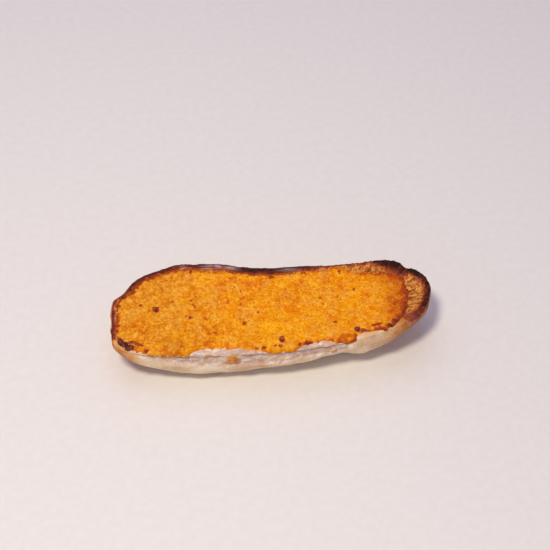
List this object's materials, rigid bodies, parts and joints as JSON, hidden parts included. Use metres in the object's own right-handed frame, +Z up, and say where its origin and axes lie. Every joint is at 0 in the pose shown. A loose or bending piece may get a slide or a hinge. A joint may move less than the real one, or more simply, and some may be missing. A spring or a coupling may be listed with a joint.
{
  "type": "garlic bread",
  "caption": "Half of a long sub roll, cut face up, baked under a granular layer of garlic butter and cheese, with a domed underside that it rests on.",
  "frame": {"origin": "centre of the bounding box's footprint, on the surface that the roll rests on", "axes": "+X along the roll towards the end whose crumb is left bare, -Y towards the front side where soft crumb is torn bare, +Z up out of the cut face"},
  "size_m": [0.2023, 0.0756, 0.036],
  "materials": {
    "baked_roll": "dry floury crust, tan, toasted dark brown along the cut edge, with soft white crumb where it is torn",
    "baked_cheese": "buttery and granular, orange gold with browned specks"
  },
  "bodies": {
    "root": {"bread": "baked_roll", "topping": "baked_cheese"}
  },
  "joints": []
}
